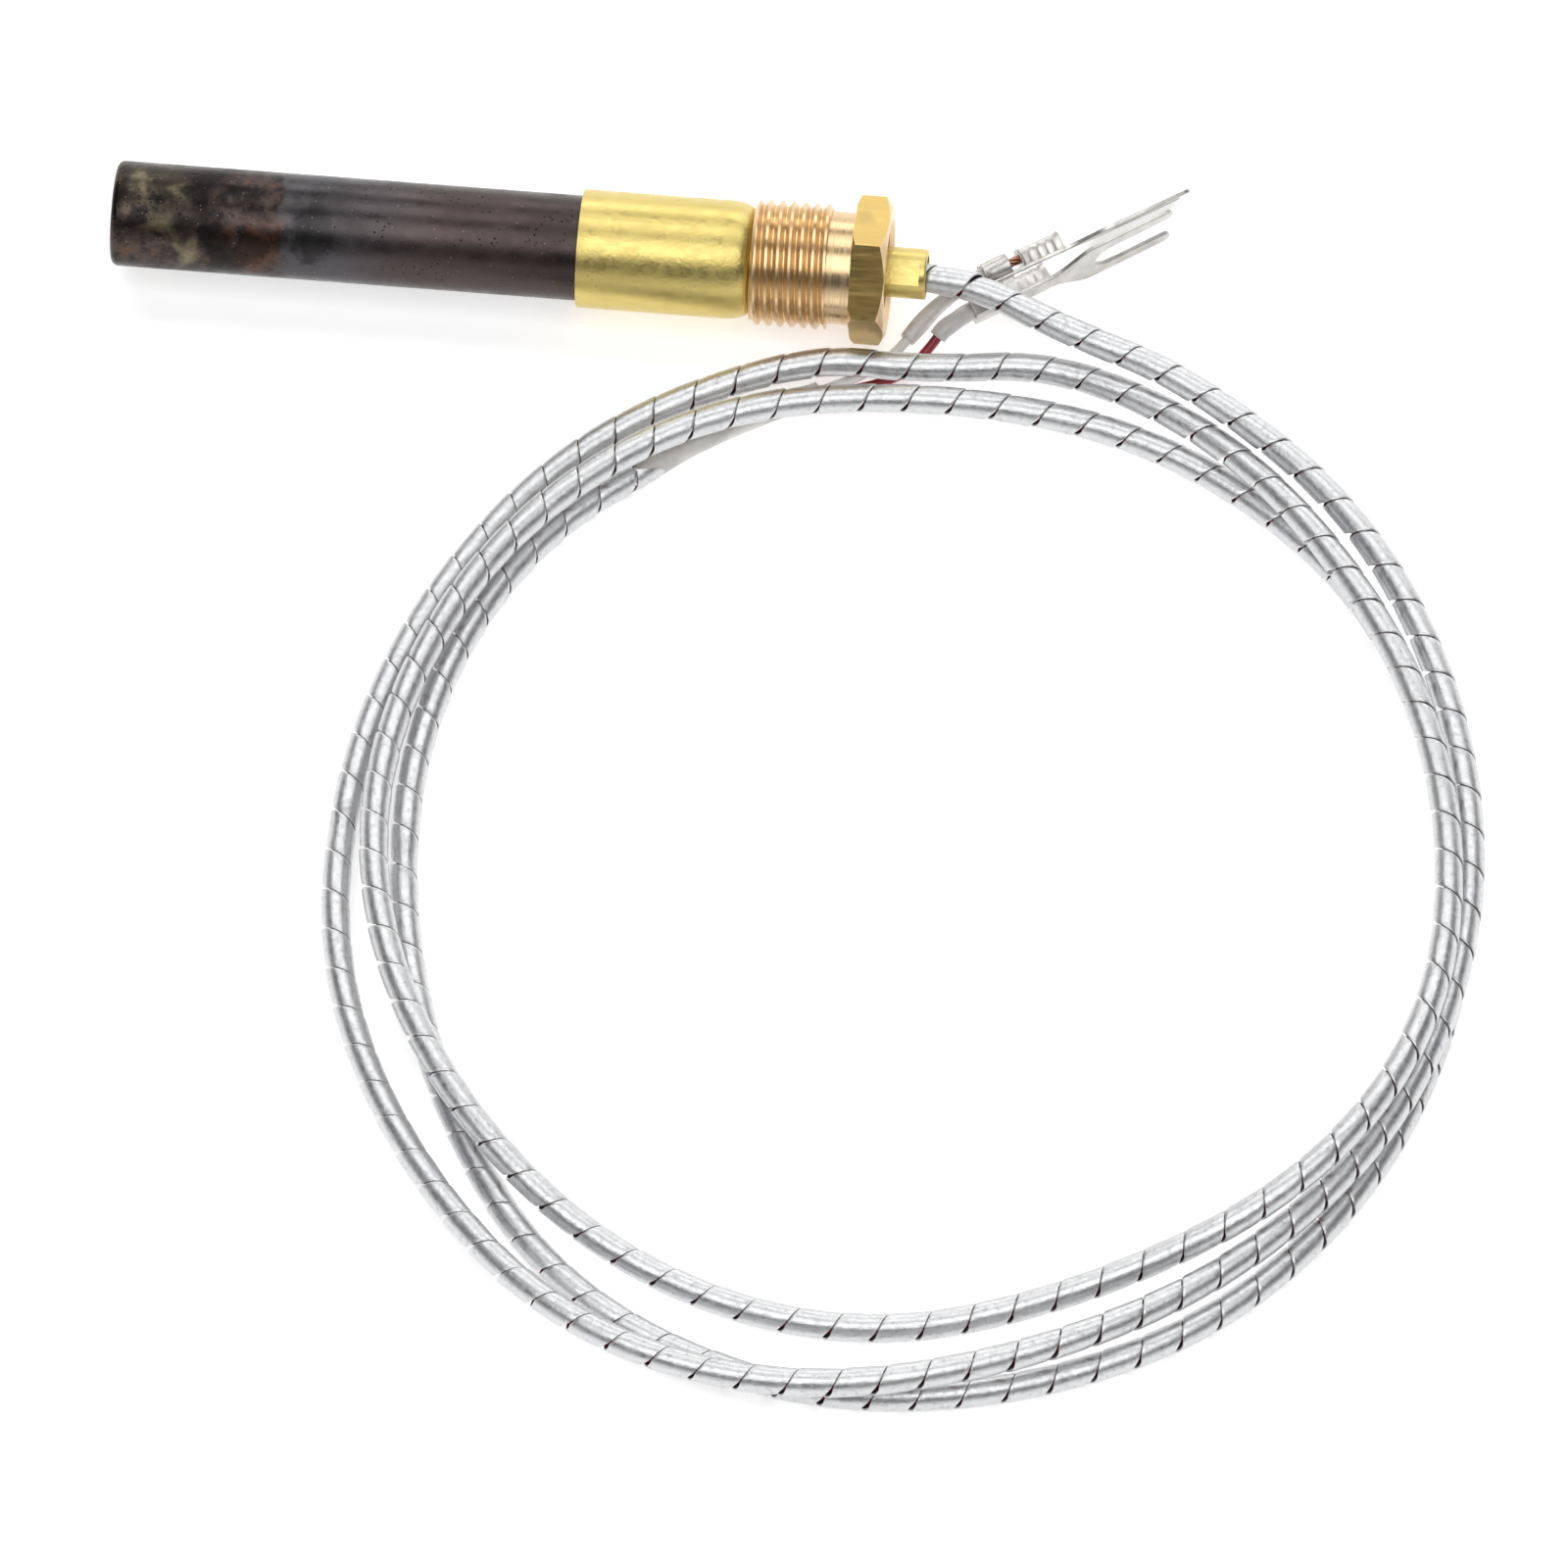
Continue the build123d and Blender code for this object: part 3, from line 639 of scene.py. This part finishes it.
def armour(track, length):
    """The spiral strip, whose seam opens low on the lead's sides, cut off at length but for a torn tongue."""
    steps_per_turn = 26
    turns = length / (ARMOUR_PITCH * MM) + 1
    stations = int(turns * steps_per_turn)
    turn = np.linspace(0, turns, stations)
    angle = math.radians(ARMOUR_START_TURN) - turn * 2 * math.pi
    low = eased(np.clip((SEAM_LOW_FROM - np.sin(angle)) / SEAM_LOW_SPAN, 0, 1))
    gap = (SEAM_CLOSED + (SEAM_OPEN - SEAM_CLOSED) * low) * turn_by_turn(turn, *SEAM_SPREAD)
    lift = turn_by_turn(turn, -TURN_LIFT, TURN_LIFT)
    towards_tongue = np.clip(np.cos(angle - math.radians(TONGUE_SIDE)), 0, 1)
    end = length + TONGUE * MM * towards_tongue ** 2
    curl = CURL * np.exp(-(((turn - CURL_TURN) / CURL_WIDTH) ** 2))
    outer = [(share, ARMOUR_R - ARMOUR_STEP + ARMOUR_STEP * height) for share, height in STRIP_PROFILE]
    inner = [(share, radius - ARMOUR_STRIP) for share, radius in reversed(outer)]
    section = outer + inner
    lines = []
    uvs = []
    for share, radius in section:
        s = (turn * ARMOUR_PITCH + (share - 0.5) * (ARMOUR_PITCH - gap)) * MM
        place, left, up = track.at(np.clip(s, 0, end))
        r = radius + lift * (0.3 + share) + curl * share
        for x, y, size, depth in DENTS:
            away = np.hypot(place[:, 0] / MM - x, place[:, 1] / MM - y) / size
            r = r - depth * np.exp(-away * away) * np.clip(np.sin(angle) + 0.3, 0, 1)
        outward = np.cos(angle)[:, None] * left + np.sin(angle)[:, None] * up
        lines.append(place + (r * MM)[:, None] * outward)
        uvs.append(np.stack([s / MM, angle * ARMOUR_R], axis=-1))
    vertices = np.stack(lines, axis=1).reshape(-1, 3)
    faces = ring_faces(stations, len(section))
    obj = make("armour", vertices, faces, "armour_aluminium", stands_for=["cable_armour"])
    strip_uv(obj.data, np.stack(uvs, axis=1).reshape(-1, 2))
    obj.data.set_sharp_from_angle(angle=math.radians(40))
    return obj


# ---- leads and sleeves ----


def fork_matrix(fork):
    """A terminal's own axes: x along it, y across it, z out of its strip on the barrels' side."""
    heading, roll = math.radians(fork["heading"]), math.radians(fork["roll"])
    along = Vector((math.cos(heading), math.sin(heading), 0))
    side = Vector((-math.sin(heading), math.cos(heading), 0))
    out = side * -math.sin(roll) + UP * math.cos(roll)
    height = FORK_WIDTH / 2 * abs(math.sin(roll)) + FORK_THICK / 2 * abs(math.cos(roll))
    place = Vector((*fork["start"], FLOOR_Z / MM + height)) * MM
    turned = Matrix((along, out.cross(along), out)).transposed().to_4x4()
    return Matrix.Translation(place) @ turned


def barrel_point(fork, x):
    return tuple(c / MM for c in fork_matrix(fork) @ Vector((x * MM, 0, BARREL_OFFSET * MM)))


def lead_points(height, tail, fork, start_x, end_x):
    shared = [(x, y, z + height) for x, y, z in [(start_x, 0, 0)] + ROUTE[1:-1] + TAIL]
    return shared + tail + [barrel_point(fork, LAST_BEND_X), barrel_point(fork, end_x)]


def wire(name, points, radius, slot, stands_for):
    data = nurbs(name, points, 12)
    data.bevel_depth = radius * MM
    data.bevel_resolution = 3
    data.use_fill_caps = True
    return finish_piece(bpy.data.objects.new(name, data), slot, stands_for)


def sleeve(name, track, start, end, radius, bore, squeeze, stands_for, seed):
    """Loose grey sleeving over a lead, from start to end along its track: squeezed oval and creased."""
    around, rings = 28, 34
    place, left, up = track.at(np.linspace(start, end, rings))
    outer, inner = [], []
    for i in range(rings):
        share = i / (rings - 1)
        for r_base, store in ((radius, outer), (bore, inner)):
            ring = []
            for j in range(around):
                a = 2 * math.pi * j / around
                crease = noise.noise(Vector((math.cos(a) * 1.3, math.sin(a) * 1.3, share * 5 + seed)))
                squeezed = squeeze * math.cos(a + seed) ** 2 * (0.6 + 0.4 * math.sin(share * 9 + seed))
                r = r_base * (1 - squeezed) * (1 + 0.10 * crease) * MM
                ring.append(place[i] + r * (math.cos(a) * left[i] + math.sin(a) * up[i]))
            store.append(ring)
    vertices = [p for ring in outer + inner[::-1] for p in ring]
    faces = ring_faces(2 * rings, around, closed_ends=False)
    last = (2 * rings - 1) * around
    faces += [(last + j, last + (j + 1) % around, (j + 1) % around, j) for j in range(around)]
    return make(name, vertices, faces, "grey_sleeve", stands_for)


# ---- fork terminals ----


def fork_side():
    """The blade's outline on the +y side, from the barrels' end round the tip to the slot's root."""
    half, slot, strip = FORK_WIDTH / 2, FORK_SLOT / 2, BARREL_WIDTH / 2
    widening, tip_steps, root_steps = 14, 12, 8
    points = [(0, strip)]
    for k in range(widening + 1):
        share = k / widening
        x = FORK_NECK_X + (FORK_HEAD_X - FORK_NECK_X) * share
        points.append((x, strip + (half - strip) * eased(share)))
    tip_r = (half - slot) / 2
    tip_y = (half + slot) / 2
    for k in range(tip_steps + 1):
        a = math.pi / 2 - math.pi * k / tip_steps
        points.append((FORK_LENGTH - tip_r + tip_r * math.cos(a), tip_y + tip_r * math.sin(a)))
    root_x = FORK_LENGTH - FORK_SLOT_DEPTH + slot
    for k in range(root_steps + 1):
        a = math.pi / 2 + math.pi / 2 * k / root_steps
        points.append((root_x + slot * math.cos(a), slot * math.sin(a)))
    return points


def fork_blade(shaper):
    side = fork_side()
    outline = side + [(x, -y) for x, y in reversed(side[:-1])]
    face = shaper.faces.new([shaper.verts.new((x, y, -FORK_THICK / 2)) for x, y in outline])
    raised = bmesh.ops.extrude_face_region(shaper, geom=[face])
    top = [v for v in raised["geom"] if isinstance(v, bmesh.types.BMVert)]
    bmesh.ops.translate(shaper, verts=top, vec=(0, 0, FORK_THICK))


def loft(shaper, rings):
    made = [[shaper.verts.new(p) for p in ring] for ring in rings]
    around = len(made[0])
    for one, two in zip(made, made[1:]):
        for j in range(around):
            shaper.faces.new((one[j], one[(j + 1) % around], two[(j + 1) % around], two[j]))
    shaper.faces.new(made[0])
    shaper.faces.new(made[-1])


def insulation_barrel(shaper):
    """Two wings curled up round the sleeve from the strip, their tips meeting short of the middle."""
    start, end = INSULATION_CRIMP
    bore_r, steps = SLEEVE_R + WING_CLEARANCE, 22
    reach = math.radians(WING_REACH)
    stations = [
        (start, WING_FLARE), (start + 0.15, 0.0), (start + 1.1, 0.0),
        (end - 1.1, 0.0), (end - 0.15, 0.0), (end, WING_FLARE),
    ]
    rings = []
    for x, flare in stations:
        ring = []
        for wall, shares in ((WING_WALL, range(steps + 1)), (0, range(steps, -1, -1))):
            for n in shares:
                a = -math.pi / 2 - reach + 2 * reach * n / steps
                radius = bore_r + flare + wall
                squash = 0.94 if math.sin(a) > 0.6 else 1.0
                y = radius * math.cos(a) * 1.02
                ring.append((x, y, BARREL_OFFSET + radius * math.sin(a) * squash))
        rings.append(ring)
    loft(shaper, rings)


def pressed_box(x, half, top, bottom):
    """Section of the conductor crimp: its folded wings dip at the seam in the middle of the top."""
    profile = [
        (0.0, top - 0.34), (0.10, top - 0.06), (0.30, top), (0.62, top - 0.02),
        (0.86, top - 0.16), (0.98, top - 0.5), (1.0, top - 1.0), (1.0, bottom + 0.7),
        (0.94, bottom + 0.22), (0.78, bottom + 0.03), (0.4, bottom), (0.0, bottom),
    ]
    one_side = [(x, half * y, z) for y, z in profile]
    other_side = [(x, -half * y, z) for y, z in profile]
    return one_side + other_side[::-1][1:-1]


def conductor_barrel(shaper, seed):
    """The wings folded over the strands and pressed to a box: belled ends, tooth marks and a seam on top."""
    dice = random.Random(seed)
    start, end = CONDUCTOR_CRIMP
    stations = 27
    rings = []
    for k in range(stations):
        share = k / (stations - 1)
        bell = BELL * (max(0, 1 - share * 9) + max(0, 1 - (1 - share) * 9))
        tooth = TOOTH_DEPTH * max(0, math.sin(share * math.pi * 2 * TOOTH_COUNT)) ** 3
        half = BARREL_WIDTH / 2 + bell * 0.6 - tooth * 0.5 + dice.uniform(-0.01, 0.01)
        top = BARREL_OFFSET + BARREL_TOP + bell - tooth * 0.3
        bottom = -FORK_THICK / 2 - 0.03 - bell * 0.4
        rings.append(pressed_box(start + (end - start) * share, half, top, bottom))
    loft(shaper, rings)


def fork(name, place, node, seed):
    shaper = bmesh.new()
    fork_blade(shaper)
    insulation_barrel(shaper)
    conductor_barrel(shaper, seed)
    bmesh.ops.recalc_face_normals(shaper, faces=shaper.faces)
    for v in shaper.verts:
        v.co = place @ (v.co * MM)
    mesh = bpy.data.meshes.new(name)
    shaper.to_mesh(mesh)
    shaper.free()
    obj = finish_piece(bpy.data.objects.new(name, mesh), "tinned_strip", [node])
    mesh.shade_smooth()
    mesh.set_sharp_from_angle(angle=math.radians(35))
    bevel = obj.modifiers.new("edges", "BEVEL")
    bevel.width = FORK_EDGE * MM
    bevel.segments = 2
    bevel.limit_method = "ANGLE"
    bevel.angle_limit = math.radians(50)
    return obj


def strands(name, place):
    """Seven bare strands, twisted, showing between the two barrels: one straight, with six round it."""
    vertices, faces = [], []
    around, steps, twist = 7, 24, 2.4
    start, end = STRANDS_X
    for n in range(7):
        ring_r = 0 if n == 0 else STRAND_RING_R
        rings = []
        for k in range(steps):
            share = k / (steps - 1)
            x = start + (end - start) * share
            a = 2 * math.pi * n / 6 + share * twist
            swell = ring_r * (0.75 + 0.45 * math.sin(math.pi * share))
            y, z = swell * math.cos(a), BARREL_OFFSET + swell * math.sin(a)
            turns = np.linspace(0, 2 * math.pi, around, endpoint=False)
            rings.append([(x, y + STRAND_R * math.cos(t), z + STRAND_R * math.sin(t)) for t in turns])
        base = len(vertices)
        vertices += [place @ (Vector(p) * MM) for ring in rings for p in ring]
        faces += [tuple(base + i for i in face) for face in ring_faces(steps, around)]
    return make(name, vertices, faces, "copper")


# ---- build ----

camera()
studio()
floor(paper_white())
random.seed(24)

armour_track = Track(ROUTE)
lead_track = Track(ROUTE[:-1] + TAIL + WHITE_TAIL[:1])
shown_armour = armour(lead_track, armour_track.length)

for colour, height, tail, ends, slot, sleeve_length, seed in LEADS:
    cover_points = lead_points(height, tail, ends, LEAD_START_X, COVER_END_X)
    core_points = lead_points(height, tail, ends, CONDUCTOR_START_X, CONDUCTOR_END_X)
    cover = wire(f"{colour}_lead", cover_points, LEAD_R, slot, [f"{colour}_lead_insulation"])
    core = wire(f"{colour}_conductor", core_points, CONDUCTOR_R, "copper", [f"{colour}_lead_conductor"])
    cover_track = Track(cover_points)
    core_track = Track(core_points)
    sleeve_end = cover_track.length - SLEEVE_SHORT_OF_END * MM
    over = sleeve(
        f"{colour}_sleeve", cover_track, sleeve_end - sleeve_length * MM, sleeve_end, SLEEVE_R, SLEEVE_BORE_R,
        SLEEVE_SQUEEZE, [f"{colour}_terminal_sleeve"], seed,
    )
    terminal = fork(f"{colour}_fork", fork_matrix(ends), f"fork_terminal_{colour}", seed)
    bare = strands(f"{colour}_strands", fork_matrix(ends))

# The outer sleeve covers both leads from the armour's end.
outer_start = lead_track.nearest(ROUTE[-1]) + OUTER_SLEEVE_GAP * MM
outer = sleeve(
    "outer_sleeve_cover", lead_track, outer_start, outer_start + OUTER_SLEEVE_LENGTH * MM,
    OUTER_SLEEVE_R, OUTER_SLEEVE_BORE_R, OUTER_SLEEVE_SQUEEZE, ["outer_sleeve"], 5,
)
